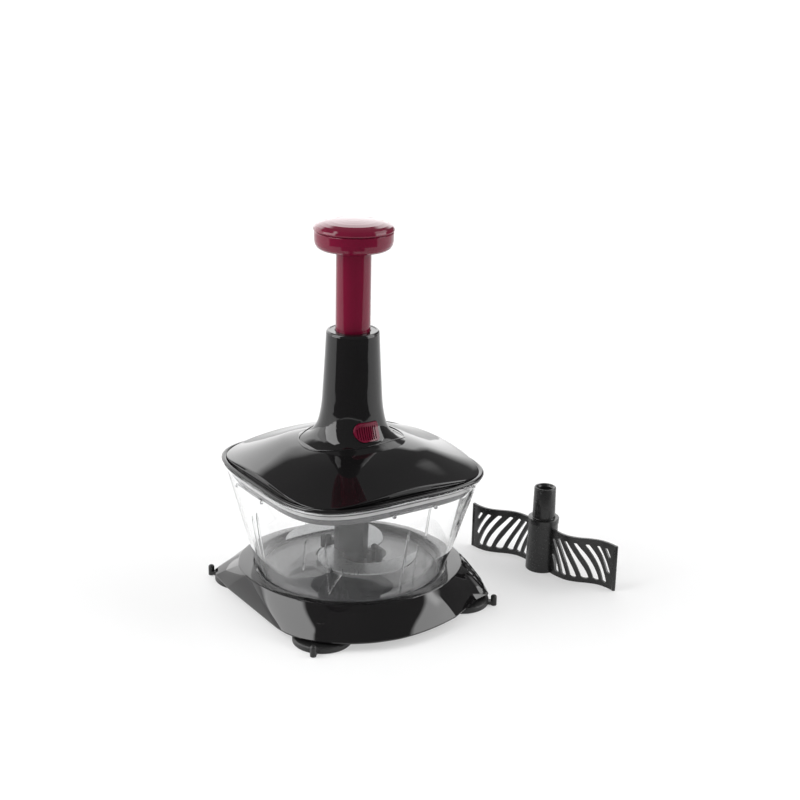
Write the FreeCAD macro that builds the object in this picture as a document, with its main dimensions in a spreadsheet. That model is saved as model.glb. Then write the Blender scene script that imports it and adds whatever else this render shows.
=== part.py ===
# Plunger food chopper: base stand on suction cups, clear bowl, blade carrier,
# domed lid with a drive tower, sprung plunger with a helical drive, and a
# loose mixing paddle that stands beside it.
# Z is up and the origin is on the plunger's axis, at floor level.
# Front (the lock button's side) faces -Y. All lengths are in millimetres.
import FreeCAD, Part
import os
import math
import Sketcher
from FreeCAD import Vector, Placement, Rotation

os.makedirs("parts", exist_ok=True)
doc = FreeCAD.newDocument("chopper")

# ---------------------------------------------------------------- dimensions
sheet = doc.addObject("Spreadsheet::Sheet", "dims")
DIMS = [
    ("knob_radius", 29.0), ("knob_top", 287.3), ("knob_seam", 279.5), ("knob_low", 266.5),
    ("tube_radius", 12.7), ("tube_bore", 10.7), ("tube_low", 154.0), ("tube_high", 276.0),
    ("tube_web", 268.0), ("stroke", 58.0),
    ("tower_top", 207.0), ("tower_radius", 19.4), ("bush_bore", 12.78), ("bush_radius", 17.0),
    ("barrel_bore", 13.4), ("barrel_radius", 17.4), ("barrel_top", 160.0),
    ("ear_radius", 15.3), ("ear_width", 8.0), ("ear_height", 4.6),
    ("lid_wall", 2.4), ("panel_half", 79.5), ("panel_low", 109.5), ("flange_half", 83.5),
    ("flange_low", 101.0), ("foot_half", 35.4), ("foot_low", 126.0),
    ("well_floor", 92.8), ("well_thick", 2.6), ("sleeve_low", 66.0), ("sleeve_bore", 8.85),
    ("sleeve_radius", 11.5), ("skirt_low", 95.0), ("skirt_half", 77.5),
    ("bowl_low", 18.3), ("bowl_floor", 21.3), ("bowl_rim", 100.5), ("bowl_radius", 70.8),
    ("bowl_half", 82.0), ("bowl_wall", 2.4),
    ("base_low", 6.0), ("base_top", 26.0),
    ("lip_radius", 81.0), ("recess_radius", 73.0), ("recess_floor", 18.2), ("base_wall", 2.5),
    ("cup_radius", 21.5), ("cup_offset", 60.4), ("cup_stem", 2.95), ("peg_reach", 25.6),
    ("peg_radius", 2.3), ("peg_top", 8.8),
    ("hub_radius", 11.7), ("hub_low", 25.4), ("hub_shoulder", 64.0), ("hub_neck", 8.4),
    ("hub_top", 92.0), ("pin_radius", 2.5), ("pin_top", 50.0), ("hub_bore", 2.56),
    ("blade_level", 36.5), ("blade_thick", 1.2),
    ("bar_width", 9.0), ("bar_thick", 3.0), ("bar_low", 97.0), ("bar_high", 172.0),
    ("bar_lead", 36.0), ("journal_radius", 3.0), ("journal_bore", 3.05),
    ("spring_radius", 7.4), ("spring_wire", 1.2), ("spring_turns", 12.0),
    ("paddle_x", 152.5), ("paddle_y", -43.0), ("paddle_height", 69.0), ("vane_height", 37.3),
    ("vane_thick", 2.2),
]
D = dict(DIMS)
for row, (name, value) in enumerate(DIMS, start=1):
    sheet.set("A%d" % row, name)
    sheet.set("B%d" % row, repr(value))
    sheet.setAlias("B%d" % row, name)
doc.recompute()


class Q:
    """A length that knows its value and its expression in the sheet."""

    def __init__(self, value, text):
        self.value, self.text = value, text

    def join(self, other, sign, value):
        return Q(value, "(%s %s %s)" % (self.text, sign, other.text))

    def __add__(self, o):
        o = q(o)
        return self.join(o, "+", self.value + o.value)

    def __sub__(self, o):
        o = q(o)
        return self.join(o, "-", self.value - o.value)

    def __rsub__(self, o):
        return q(o) - self

    def __mul__(self, o):
        o = q(o)
        return self.join(o, "*", self.value * o.value)

    def __neg__(self):
        return Q(-self.value, "(0 - %s)" % self.text)

    __radd__ = __add__
    __rmul__ = __mul__


def q(x):
    return x if isinstance(x, Q) else Q(float(x), "%.6g" % x)


def S(name):
    return Q(D[name], "dims.%s" % name)


def new_body(label):
    b = doc.addObject("PartDesign::Body", label)
    b.Label = label
    return b


def plane(body, role):
    for f in body.Origin.OriginFeatures:
        if f.Role == role:
            return f
    raise ValueError(role)


def sketch_on(body, name, role, lift=0):
    sk = body.newObject("Sketcher::SketchObject", name)
    sk.AttachmentSupport = [(plane(body, role), "")]
    sk.MapMode = "FlatFace"
    lift = q(lift)
    if lift.text != "0":
        sk.AttachmentOffset = Placement(Vector(0, 0, lift.value), Rotation())
        sk.setExpression(".AttachmentOffset.Base.z", lift.text)
    return sk


def polygon(sk, pts):
    """Closed outline through the points, each one held by two driven lengths."""
    pts = [(q(x), q(y)) for x, y in pts]
    n = len(pts)
    first = len(sk.Geometry)
    for i in range(n):
        a, b = pts[i], pts[(i + 1) % n]
        sk.addGeometry(Part.LineSegment(Vector(a[0].value, a[1].value, 0), Vector(b[0].value, b[1].value, 0)), False)
    for i in range(n):
        sk.addConstraint(Sketcher.Constraint("Coincident", first + i, 2, first + (i + 1) % n, 1))
    for i in range(n):
        for kind, v in (("DistanceX", pts[i][0]), ("DistanceY", pts[i][1])):
            c = sk.addConstraint(Sketcher.Constraint(kind, -1, 1, first + i, 1, v.value))
            if "dims" in v.text:
                sk.setExpression("Constraints[%d]" % c, v.text)


def ring(sk, x, y, r):
    x, y, r = q(x), q(y), q(r)
    g = sk.addGeometry(Part.Circle(Vector(x.value, y.value, 0), Vector(0, 0, 1), r.value), False)
    for kind, v in (("DistanceX", x), ("DistanceY", y)):
        c = sk.addConstraint(Sketcher.Constraint(kind, -1, 1, g, 3, v.value))
        if "dims" in v.text:
            sk.setExpression("Constraints[%d]" % c, v.text)
    c = sk.addConstraint(Sketcher.Constraint("Radius", g, r.value))
    if "dims" in r.text:
        sk.setExpression("Constraints[%d]" % c, r.text)


def revolve(body, name, pts, cut=False):
    sk = sketch_on(body, name + "_profile", "XZ_Plane")
    polygon(sk, pts)
    f = body.newObject("PartDesign::Groove" if cut else "PartDesign::Revolution", name)
    f.Profile = sk
    f.ReferenceAxis = (sk, ["V_Axis"])
    f.Angle = 360.0
    return f


def extrude(body, name, sk, length, cut=False, back=False):
    f = body.newObject("PartDesign::Pocket" if cut else "PartDesign::Pad", name)
    f.Profile = sk
    length = q(length)
    f.Length = length.value
    if "dims" in length.text:
        f.setExpression("Length", length.text)
    f.Reversed = back
    return f


PARTS = {}


def keep(obj, name=None):
    name = name or obj.Label
    PARTS[name] = obj
    return obj


def feature(label, shape):
    f = doc.addObject("Part::Feature", label)
    f.Shape = shape
    f.Label = label
    f.Placement = Placement()
    return keep(f, label)


# ------------------------------------------------------- rounded-square lofts
def squircle_point(a, b, n, z, t):
    c, s = math.cos(t), math.sin(t)
    r = (abs(c / a) ** n + abs(s / b) ** n) ** (-1.0 / n)
    return Vector(r * c, r * s, z)


def squircle(a, b, n, z):
    """Four arcs, tangent where they meet, split clear of the sides' middles and of the corners."""
    edges = []
    for k in range(4):
        angles = [math.radians(22.5 + 90 * k + 7.5 * i) for i in range(13)]
        ends = []
        for t in (angles[0], angles[-1]):
            d = squircle_point(a, b, n, z, t + 1e-4) - squircle_point(a, b, n, z, t - 1e-4)
            ends.append(d.normalize())
        curve = Part.BSplineCurve()
        curve.interpolate(Points=[squircle_point(a, b, n, z, t) for t in angles], InitialTangent=ends[0], FinalTangent=ends[1])
        edges.append(curve.toShape())
    return Part.Wire(edges)


def loft(secs, ruled=False):
    return Part.makeLoft([squircle(a, b, n, z) for z, a, b, n in secs], True, ruled)


def round_end(shape, z, radius):
    """Round every edge that lies flat at height z."""
    rim_edges = [e for e in shape.Edges if abs(e.BoundBox.ZMin - z) < 0.02 and abs(e.BoundBox.ZMax - z) < 0.02]
    return shape.makeFillet(radius, rim_edges)


def interp(table, z):
    for lo, hi in zip(table, table[1:]):
        if lo[0] <= z <= hi[0]:
            k = (z - lo[0]) / (hi[0] - lo[0])
            return [lo[i] + k * (hi[i] - lo[i]) for i in range(1, len(lo))]
    return list(table[0][1:] if z < table[0][0] else table[-1][1:])


def cyl(r, z0, z1, x=0, y=0):
    return Part.makeCylinder(r, z1 - z0, Vector(x, y, z0), Vector(0, 0, 1))


def box(x0, x1, y0, y1, z0, z1):
    return Part.makeBox(x1 - x0, y1 - y0, z1 - z0, Vector(x0, y0, z0))


# ----------------------------------------------------------------- base stand
# Round lip that holds the bowl, walls that slope out to a rounded square, and
# a crease down each corner.
# Half of the lower outline, direction in degrees and reach; the other half repeats it.
FOOT = [(130.2, 99.4), (137.0, 103.2), (143.0, 102.1), (156.0, 93.2), (203.4, 93.0), (210.0, 97.2), (218.0, 100.6), (228.0, 102.0), (238.3, 101.6),
        (248.0, 101.0), (258.9, 100.0), (267.0, 98.5), (274.5, 97.4), (282.0, 96.9), (290.9, 97.3)]


def reach(deg):
    """Distance from the axis to the lower outline, straight between its corners."""
    full = FOOT + [(d + 180.0, v) for d, v in FOOT] + [(FOOT[0][0] + 360.0, FOOT[0][1])]
    while deg < full[0][0]:
        deg += 360.0
    while deg >= full[-1][0]:
        deg -= 360.0
    for (d1, r1), (d2, r2) in zip(full, full[1:]):
        if d1 <= deg <= d2:
            w1, w2, w = math.radians(deg - d1), math.radians(d2 - deg), math.radians(d2 - d1)
            return r1 * r2 * math.sin(w) / (r1 * math.sin(w1) + r2 * math.sin(w2))
    return full[0][1]


def base_wire(r0, inset, k, z):
    edges = []
    for q4 in range(4):
        pts = []
        for i in range(13):
            deg = -45.0 + 90.0 * q4 + 7.5 * i
            r = r0 + (reach(deg) - inset - r0) * k
            pts.append(Vector(r * math.cos(math.radians(deg)), r * math.sin(math.radians(deg)), z))
        curve = Part.BSplineCurve()
        curve.interpolate(Points=pts)
        edges.append(curve.toShape())
    return Part.Wire(edges)


def base_loft(inset, z_low, z_high):
    r0 = D["lip_radius"] - inset
    wires = []
    for f, k in ((0.0, 1.0), (0.13, 0.93), (0.32, 0.72), (0.54, 0.46), (0.75, 0.22), (0.9, 0.06), (1.0, 0.0)):
        z = z_low + f * (z_high - z_low)
        wires.append(base_wire(r0, inset, k, z))
    return Part.makeLoft(wires, True, False)


lip = Part.makeCone(D["lip_radius"] - 0.2, D["lip_radius"] - 2.2, 1.6, Vector(0, 0, D["base_top"] - 1.6), Vector(0, 0, 1))
outer = base_loft(0.0, D["base_low"], D["base_top"] - 1.4).fuse(lip)
inner = base_loft(D["base_wall"], D["base_low"] - 1.0, D["base_top"] - 3.4)
keep_in = cyl(D["recess_radius"] + 2.3, D["recess_floor"] - 2.4, D["base_top"])
shell = outer.cut(inner.cut(keep_in))
shell = shell.cut(cyl(D["recess_radius"], D["recess_floor"], D["base_top"] + 1))
co = D["cup_offset"]
posts = [(sx * co, sy * co) for sx in (-1, 1) for sy in (-1, 1)]
under = base_loft(0.6, D["base_low"] - 1.0, D["base_top"] - 3.0)
extras = [cyl(6.5, 8.6, 21.0, x, y).common(under) for x, y in posts]
# grip ribs on the right wall, beside the front corner
rib_face = base_loft(-0.9, D["base_low"], D["base_top"] - 1.4).cut(base_loft(0.5, D["base_low"] - 1, D["base_top"]))
for i in range(6):
    y0 = -52.0 + 9.0 * i
    bar = Part.makeBox(30, 3.4, 30, Vector(-15, -1.7, 0))
    bar.Placement = Placement(Vector(88, y0, 0), Rotation(Vector(0, 0, 1), -22))
    band = box(60, 120, -60, 0, D["base_low"] + 3.0, D["base_top"] - 4.5)
    rib = rib_face.common(bar.common(band))
    if rib.Volume > 1:
        extras += rib.Solids
shell = shell.fuse(extras)
shell = shell.cut([cyl(D["cup_stem"] + 0.05, 8.0, 17.2, x, y) for x, y in posts])
feature("base_shell", shell)


# --------------------------------------------------------------- suction cups
def suction_cup(label, angle):
    b = new_body(label)
    r, st = S("cup_radius"), S("cup_stem")
    revolve(b, label + "_disc", [
        (0, 2.6), (9, 2.4), (16.5, 1.2), (18.5, 0), (r - 0.7, 0), (r, 0.7), (r, 3.7), (r - 0.8, 4.5),
        (15.5, 4.7), (9, 5.9), (6, 8.5), (st, 8.55), (st, 15.2), (st - 0.9, 16.6), (0, 16.6)])
    doc.recompute()
    sk = sketch_on(b, label + "_arm_outline", "XY_Plane", 1.2)
    polygon(sk, [(r - 2.5, -2.6), (S("peg_reach"), -2.2), (S("peg_reach"), 2.2), (r - 2.5, 2.6)])
    extrude(b, label + "_arm", sk, 2.6)
    doc.recompute()
    sk = sketch_on(b, label + "_peg_outline", "XY_Plane", 0.6)
    ring(sk, S("peg_reach"), 0, S("peg_radius"))
    f = extrude(b, label + "_peg", sk, S("peg_top") - 0.6)
    doc.recompute()
    top = [e for i, e in enumerate(b.Shape.Edges, start=1)]
    names = []
    for i, e in enumerate(b.Shape.Edges, start=1):
        c = e.BoundBox
        if abs(c.ZMin - D["peg_top"]) < 0.01 and abs(c.ZMax - D["peg_top"]) < 0.01:
            names.append("Edge%d" % i)
    fl = b.newObject("PartDesign::Fillet", label + "_peg_round")
    fl.Base = (f, names)
    fl.Radius = 1.9
    a = math.radians(angle)
    R = D["cup_offset"] * math.sqrt(2)
    b.Placement = Placement(Vector(R * math.cos(a), R * math.sin(a), 0), Rotation(Vector(0, 0, 1), angle))
    return keep(b)


suction_cup("suction_cup_front_left", 225)
suction_cup("suction_cup_front_right", 315)
suction_cup("suction_cup_rear_right", 45)
suction_cup("suction_cup_rear_left", 135)

# ----------------------------------------------------------------------- bowl
# Round at the bottom and a rounded square at the rim: height, half width, exponent.
BOWL = [(18.3, 69.6, 2.0), (26.0, 71.3, 2.05), (36.0, 72.6, 2.25), (46.0, 74.3, 2.5), (56.0, 76.1, 2.8), (70.0, 78.6, 3.2),
        (84.0, 80.5, 3.5), (100.5, 82.0, 3.8)]
w = D["bowl_wall"]
outer = round_end(loft([(z, a, a, n) for z, a, n in BOWL]), 18.3, 2.6)
inner = loft([(21.3, 67.9, 67.9, 2.0)] + [(z, a - w, a - w, n) for z, a, n in BOWL if 26.0 <= z < 100] + [(101.0, 82.05 - w, 82.05 - w, 3.8)])
inner = round_end(inner, 21.3, 2.0)
rim = loft([(97.6, 83.0, 83.0, 3.8), (100.5, 83.0, 83.0, 3.8)])
bowl = outer.cut(inner)
disc = Part.makeCone(27.0, 26.0, 1.6, Vector(0, 0, D["bowl_floor"] - 0.4), Vector(0, 0, 1))
boss = Part.makeCone(9.5, 8.5, 2.9, Vector(0, 0, D["bowl_floor"] + 0.6), Vector(0, 0, 1))
bowl = bowl.fuse([disc, boss, rim.cut(inner)])
bowl = bowl.cut(cyl(D["pin_radius"], 19.8, 30.0))
# one upright rib on the inside of each wall
extras = []
levels = [24.0, 31.0, 39.0, 47.0, 56.0, 65.0, 75.0, 88.0]
inside = [Vector(interp(BOWL, z)[0] - w - 1.3, -1.2, z) for z in levels]
buried = [Vector(interp(BOWL, z)[0] - w + 1.0, -1.2, z) for z in levels]
for k in range(4):
    rib = Part.Face(Part.makePolygon(inside + buried[::-1] + [inside[0]])).extrude(Vector(0, 2.4, 0))
    rib.rotate(Vector(0, 0, 0), Vector(0, 0, 1), 90 * k)
    extras.append(rib)
# small snap lugs under the rim
for x, y, ang in ((-19, -1, 270), (21, -1, 270), (-19, 1, 90), (21, 1, 90), (-1, 0, 180), (1, 0, 0)):
    lug = Part.makeCylinder(1.6, 3.6, Vector(0, 0, 0), Vector(1, 0, 0)).fuse(
        Part.makeCone(1.6, 0.5, 4.0, Vector(1.8, 0, 0), Vector(0, 0, -1)))
    half = interp(BOWL, 93.5)[0]
    lug.Placement = Placement(Vector(0, 0, 0), Rotation(Vector(0, 0, 1), ang))
    if ang in (90, 270):
        lug.translate(Vector(x, y * (half - 1.6), 93.5))
    else:
        lug.translate(Vector(x * (half - 1.6), 0, 93.5))
    extras.append(lug)
bowl = bowl.fuse(extras)
feature("bowl", bowl)

b = new_body("centre_pin")
revolve(b, "pin_solid", [(0, 20.0), (S("pin_radius"), 20.0), (S("pin_radius"), S("pin_top") - 2.2), (0.8, S("pin_top")), (0, S("pin_top"))])
keep(b)


# -------------------------------------------------------------- blade carrier
def spline_face(points, z):
    curve = Part.BSplineCurve()
    curve.interpolate(Points=[Vector(x, y, z) for x, y in points], PeriodicFlag=True)
    return Part.Face(Part.Wire([curve.toShape()]))


zb, tb = D["blade_level"], D["blade_thick"]
OUTER = [(-9.5, 9.0), (-22.0, 7.0), (-32.0, -6.0), (-35.0, -21.0), (-29.5, -37.5), (-17.0, -49.0), (-1.0, -54.5), (16.0, -52.0), (30.0, -43.0)]
INNER = [(36.5, -34.5), (26.0, -36.5), (12.0, -37.5), (-3.0, -35.5), (-13.5, -28.0), (-15.5, -17.0), (-11.5, -8.0), (-4.0, -6.0)]


def wing(flip):
    s = -1 if flip else 1
    o = Part.BSplineCurve()
    o.interpolate(Points=[Vector(s * x, s * y, zb) for x, y in OUTER + [INNER[0]]])
    i = Part.BSplineCurve()
    i.interpolate(Points=[Vector(s * x, s * y, zb) for x, y in INNER])
    close = Part.LineSegment(Vector(s * INNER[-1][0], s * INNER[-1][1], zb), Vector(s * OUTER[0][0], s * OUTER[0][1], zb))
    return Part.Face(Part.Wire([o.toShape(), i.toShape(), close.toShape()])).extrude(Vector(0, 0, tb))


blade = wing(False).fuse(wing(True)).fuse(cyl(11.6, zb, zb + tb)).cut(cyl(7.0, zb - 1, zb + tb + 1)).removeSplitter()
blade_obj = feature("s_blade", blade)

b = new_body("hub_moulding")
revolve(b, "hub_solid", [
    (S("hub_bore"), S("hub_low")), (S("hub_radius") - 0.8, S("hub_low")), (S("hub_radius"), S("hub_low") + 0.8),
    (S("hub_radius"), S("hub_shoulder") - 1.0), (S("hub_radius") - 1.0, S("hub_shoulder")), (S("hub_neck"), S("hub_shoulder")),
    (S("hub_neck"), S("hub_top") - 0.6), (S("hub_neck") - 0.6, S("hub_top")), (0, S("hub_top")),
    (0, S("pin_top") + 1.2), (S("hub_bore"), S("pin_top") + 0.3)])
doc.recompute()
# finger lugs either side of the hub, along a slanted line
lug_dir = math.radians(-67.0)
for k, sgn in enumerate((1, -1)):
    sk = sketch_on(b, "lug_outline_%d" % k, "XY_Plane", S("hub_low") + 2.0)
    c, s = math.cos(lug_dir) * sgn, math.sin(lug_dir) * sgn
    pts = []
    for u, v in ((9.0, -4.2), (17.0, -4.2), (20.5, -2.6), (22.0, 0.0), (20.5, 2.6), (17.0, 4.2), (9.0, 4.2)):
        pts.append((u * c - v * s, u * s + v * c))
    polygon(sk, pts)
    extrude(b, "lug_%d" % k, sk, 16.0)
    doc.recompute()
# six-sided socket for the drive dog
sk = sketch_on(b, "socket_outline", "XY_Plane", S("hub_top"))
polygon(sk, [(5.7 * math.cos(math.radians(60 * i)), 5.7 * math.sin(math.radians(60 * i))) for i in range(6)])
extrude(b, "socket", sk, 23.0, cut=True)
doc.recompute()
cut = doc.addObject("Part::Cut", "blade_hub")
cut.Base = b
cut.Tool = blade_obj
cut.Label = "blade_hub"
keep(cut)

# ------------------------------------------------------------------------ lid
# Dome outside: height, half width, exponent.
DOME = [(109.5, 79.5, 4.2), (110.6, 77.0, 4.1), (113.0, 70.2, 3.9), (116.0, 61.6, 3.65), (119.0, 53.0, 3.35), (121.6, 44.9, 3.1),
        (123.6, 37.6, 2.85), (124.9, 30.0, 2.6), (125.6, 20.0, 2.3)]
t = D["lid_wall"]
dome_out = loft([(z, a, a, n) for z, a, n in DOME])
dome_in = loft([(z - t, a - t * (0.9 if z < 114 else 0.35), a - t * (0.9 if z < 114 else 0.35), n) for z, a, n in DOME])
steps = [(D["flange_low"], 83.5, 4.0), (104.0, 83.5, 4.0), (104.9, 82.6, 4.0), (105.0, 81.6, 4.05), (106.4, 81.5, 4.05), (107.3, 81.4, 4.1), (107.5, 80.3, 4.15), (108.4, 80.2, 4.2), (109.6, 79.5, 4.2)]
flange = loft([(z, a, a, n) for z, a, n in steps], ruled=True)
hollow = loft([(100.0, 81.0, 81.0, 4.0), (103.4, 81.0, 81.0, 4.0)], ruled=True).fuse(
    loft([(103.0, 78.6, 78.6, 4.1), (107.3, 77.3, 77.3, 4.2)], ruled=True))
lid = dome_out.fuse(flange).cut(dome_in).cut(hollow)
# four screws from below hold the tower
corners = [(21.8 * math.cos(math.radians(a)), 21.8 * math.sin(math.radians(a))) for a in (30, 150, 210, 330)]
lid = lid.fuse([cyl(3.9, 119.5, 130.0, x, y).common(dome_out) for x, y in corners])
lid = lid.cut([cyl(1.7, 115.0, 135.0, x, y) for x, y in corners] + [cyl(17.7, 100.0, 140.0)])
feature("lid_cover", lid)

# Liner under the dome: plate, skirt inside the bowl, guide well and sleeve.
sh = D["skirt_half"]
skirt = loft([(D["skirt_low"], sh - 0.6, sh - 0.6, 3.7), (103.2, sh, sh, 3.75)], ruled=True)
skirt_in = loft([(D["skirt_low"] - 0.5, sh - 2.8, sh - 2.8, 3.7), (101.2, sh - 2.2, sh - 2.2, 3.75)], ruled=True)
liner = skirt.cut(skirt_in)
wf, wt = D["well_floor"], D["well_thick"]
liner = liner.fuse(cyl(D["barrel_radius"], wf, 128.0))
liner = liner.fuse(cyl(D["sleeve_radius"], D["sleeve_low"], wf + 1))
channel = box(-15.8, 15.8, -4.3, 4.3, wf + wt, 129.0)
liner = liner.cut(cyl(D["barrel_bore"], wf + wt, 129.0)).cut(channel)
liner = liner.cut(cyl(D["sleeve_bore"], D["sleeve_low"] - 1, wf)).cut(cyl(5.5, wf - 1, wf + wt + 1))
feature("lid_liner", liner.removeSplitter())

seal = loft([(96.4, 78.1, 78.1, 3.71), (99.4, 78.3, 78.3, 3.73)], ruled=True).cut(
    loft([(96.3, sh - 0.42, sh - 0.42, 3.71), (99.5, sh - 0.2, sh - 0.2, 3.73)], ruled=True)).cut(
    loft([(D["skirt_low"], sh - 0.6, sh - 0.6, 3.7), (103.2, sh, sh, 3.75)], ruled=True))
feature("lid_seal", seal)

# ---------------------------------------------------------------------- tower
TOWER = [(112.0, 46.0, 3.0), (118.0, 42.5, 2.95), (122.0, 38.8, 2.9), (124.3, 35.4, 2.85), (125.8, 32.6, 2.75), (127.4, 30.2, 2.6), (129.4, 28.3, 2.45),
         (132.2, 26.7, 2.3), (136.0, 25.2, 2.15), (141.0, 24.0, 2.08), (147.0, 23.0, 2.04), (154.0, 22.3, 2.0), (161.0, 21.85, 2.0), (168.0, 21.45, 2.0),
         (175.0, 21.05, 2.0), (182.0, 20.65, 2.0), (188.0, 20.32, 2.0), (195.0, 19.98, 2.0), (201.0, 19.68, 2.0), (207.0, 19.4, 2.0)]
CAVITY = [(110.0, 43.0, 3.0), (118.0, 39.4, 2.95), (122.0, 35.7, 2.9), (124.3, 32.4, 2.85), (125.8, 29.8, 2.75), (127.4, 27.6, 2.6), (129.4, 26.0, 2.45),
          (132.2, 24.6, 2.3), (136.0, 23.2, 2.15), (141.0, 22.0, 2.08), (148.0, 21.0, 2.04), (156.5, 20.3, 2.0)]
bt = D["barrel_top"]
tower_out = loft([(z, a, a, n) for z, a, n in TOWER])
# rounding of the tower's top edge
zt, rt, rr = D["tower_top"], D["tower_radius"], 1.5
k = rr * (1 - math.sqrt(0.5))
edge = [Part.Arc(Vector(rt - rr, 0, zt), Vector(rt - k - 0.05, 0, zt - k), Vector(rt - 0.1, 0, zt - rr)).toShape(),
        Part.LineSegment(Vector(rt - 0.1, 0, zt - rr), Vector(rt + 0.8, 0, zt - rr - 3.2)).toShape(),
        Part.LineSegment(Vector(rt + 0.8, 0, zt - rr - 3.2), Vector(rt + 3, 0, zt - rr - 3.2)).toShape(),
        Part.LineSegment(Vector(rt + 3, 0, zt - rr - 3.2), Vector(rt + 3, 0, zt + 2)).toShape(),
        Part.LineSegment(Vector(rt + 3, 0, zt + 2), Vector(rt - rr, 0, zt + 2)).toShape(),
        Part.LineSegment(Vector(rt - rr, 0, zt + 2), Vector(rt - rr, 0, zt)).toShape()]
tower_out = tower_out.cut(Part.Face(Part.Wire(edge)).revolve(Vector(0, 0, 0), Vector(0, 0, 1), 360))
tower = tower_out.cut(dome_out)
tower = tower.cut(loft([(z, a, a, n) for z, a, n in CAVITY]))
tower = tower.cut([cyl(D["bush_radius"], bt, 210.0), cyl(D["barrel_bore"], 150.0, bt + 1), box(-15.8, 15.8, -4.3, 4.3, 150.0, bt)])
barrel = cyl(D["barrel_radius"], 128.8, 157.0).cut([cyl(D["barrel_bore"], 110.0, bt), box(-15.8, 15.8, -4.3, 4.3, 110.0, bt)])
boss = [cyl(3.2, 112.0, 146.0, x, y).common(tower_out).cut(dome_out) for x, y in corners]
tower = tower.fuse([barrel] + boss)
tower = tower.cut([cyl(1.3, 112.0, 141.0, x, y) for x, y in corners])


# Button opening in the front of the foot, a D on its side.
def d_prism(grow, y0, y1):
    x0, x1, z0, z1, r = -12.4 - grow, 7.0 + grow, 130.0 - grow, 143.0 + grow, 2.6
    h = (z1 - z0) / 2
    zc = (z0 + z1) / 2
    rl = h - 0.01
    e = [Part.LineSegment(Vector(x0 + rl, y0, z0), Vector(x1 - r, y0, z0)).toShape(),
         Part.Arc(Vector(x1 - r, y0, z0), Vector(x1 - r * 0.293, y0, z0 + r * 0.293), Vector(x1, y0, z0 + r)).toShape(),
         Part.LineSegment(Vector(x1, y0, z0 + r), Vector(x1, y0, z1 - r)).toShape(),
         Part.Arc(Vector(x1, y0, z1 - r), Vector(x1 - r * 0.293, y0, z1 - r * 0.293), Vector(x1 - r, y0, z1)).toShape(),
         Part.LineSegment(Vector(x1 - r, y0, z1), Vector(x0 + rl, y0, z1)).toShape(),
         Part.Arc(Vector(x0 + rl, y0, z1), Vector(x0, y0, zc), Vector(x0 + rl, y0, z0)).toShape()]
    return Part.Face(Part.Wire(e)).extrude(Vector(0, y1 - y0, 0))


tower = tower.cut([d_prism(0.35, -60.0, -18.6), box(-6.4, 6.4, -19.0, -10.0, 134.6, 141.4)])
feature("drive_tower", tower)

b = new_body("tower_bush")
revolve(b, "bush_solid", [
    (S("bush_bore"), S("barrel_top") + 0.1), (S("bush_radius") - 0.05, S("barrel_top") + 0.1), (S("bush_radius") - 0.05, S("tower_top") - 0.3),
    (S("bush_bore") + 0.6, S("tower_top") - 0.3), (S("bush_bore"), S("tower_top") - 0.9)])
keep(b)

screws = []
for x, y in corners:
    cross = [box(x - 1.9, x + 1.9, y - 0.4, y + 0.4, 117.0, 118.4), box(x - 0.4, x + 0.4, y - 1.9, y + 1.9, 117.0, 118.4)]
    screws.append(cyl(1.25, 119.0, 136.0, x, y).fuse(cyl(2.8, 117.4, 119.45, x, y)).cut(cross))
feature("tower_screws", Part.makeCompound([c for g in screws for c in g.Solids]))

b = new_body("shaft_bush")
revolve(b, "shaft_bush_solid", [
    (S("journal_bore"), S("well_floor") - 0.4), (5.45, S("well_floor") - 0.4), (5.45, S("well_floor") + S("well_thick")),
    (S("journal_bore"), S("well_floor") + S("well_thick"))])
keep(b)

# ---------------------------------------------------------------- lock button
proud = loft([(z, a + 1.1, a + 1.1, n) for z, a, n in TOWER if z < 160])
btn = d_prism(0.0, -60.0, -20.6).common(proud)
cuts = []
for i in range(9):
    gx = -10.3 + 1.75 * i
    reach = 5.0 if gx > -5.9 else math.sqrt(42.0 - (gx + 5.9) ** 2) - 1.4
    line = Part.makeBox(0.8, 3.0, 2 * reach, Vector(-0.4, 0, -reach))
    line.Placement = Placement(Vector(gx, -math.sqrt(26.2 ** 2 - gx * gx) - 2.45, 136.5), Rotation(Vector(1, 0, 0), -18.0))
    cuts.append(line)
btn = btn.cut(cuts)
# a flange behind it follows the inside of the foot, and a tongue reaches to the tube
near = loft([(z, c - 0.4, c - 0.4, n) for z, c, n in CAVITY if z < 157])
far = loft([(z, c - 1.4, c - 1.4, n) for z, c, n in CAVITY if z < 157])
flangeb = d_prism(1.2, -40.0, -12.0).common(near).cut(far)
fill = d_prism(-0.3, -40.0, -12.0).common(proud).cut(far)
btn = btn.cut(box(-40, 40, -21.6, 0, 120, 160)).fuse([fill.cut(cuts), flangeb, box(-5.6, 5.6, -20.6, -13.1, 136.0, 140.0).cut(cyl(13.1, 130, 145))])
btn = btn.removeSplitter()
feature("lock_button", btn)

# -------------------------------------------------------------------- plunger
b = new_body("knob_cap")
k = S("knob_radius")
ks, kt = S("knob_seam"), S("knob_top")
revolve(b, "cap_solid", [
    (25.2, ks + 0.1), (k - 1.2, ks + 0.1), (k - 0.25, ks + 0.6), (k, ks + 1.5), (k - 0.5, ks + 2.8), (k - 1.8, ks + 4.1), (k - 4.2, ks + 5.2),
    (k - 8.0, ks + 6.3), (k - 13.0, ks + 7.05), (k - 19.0, ks + 7.5), (5.0, kt - 0.05), (0, kt), (0, kt - 2.4), (10.0, kt - 2.8),
    (18.0, kt - 3.9), (23.0, kt - 5.3), (25.2, ks + 1.6)])
keep(b)

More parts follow.
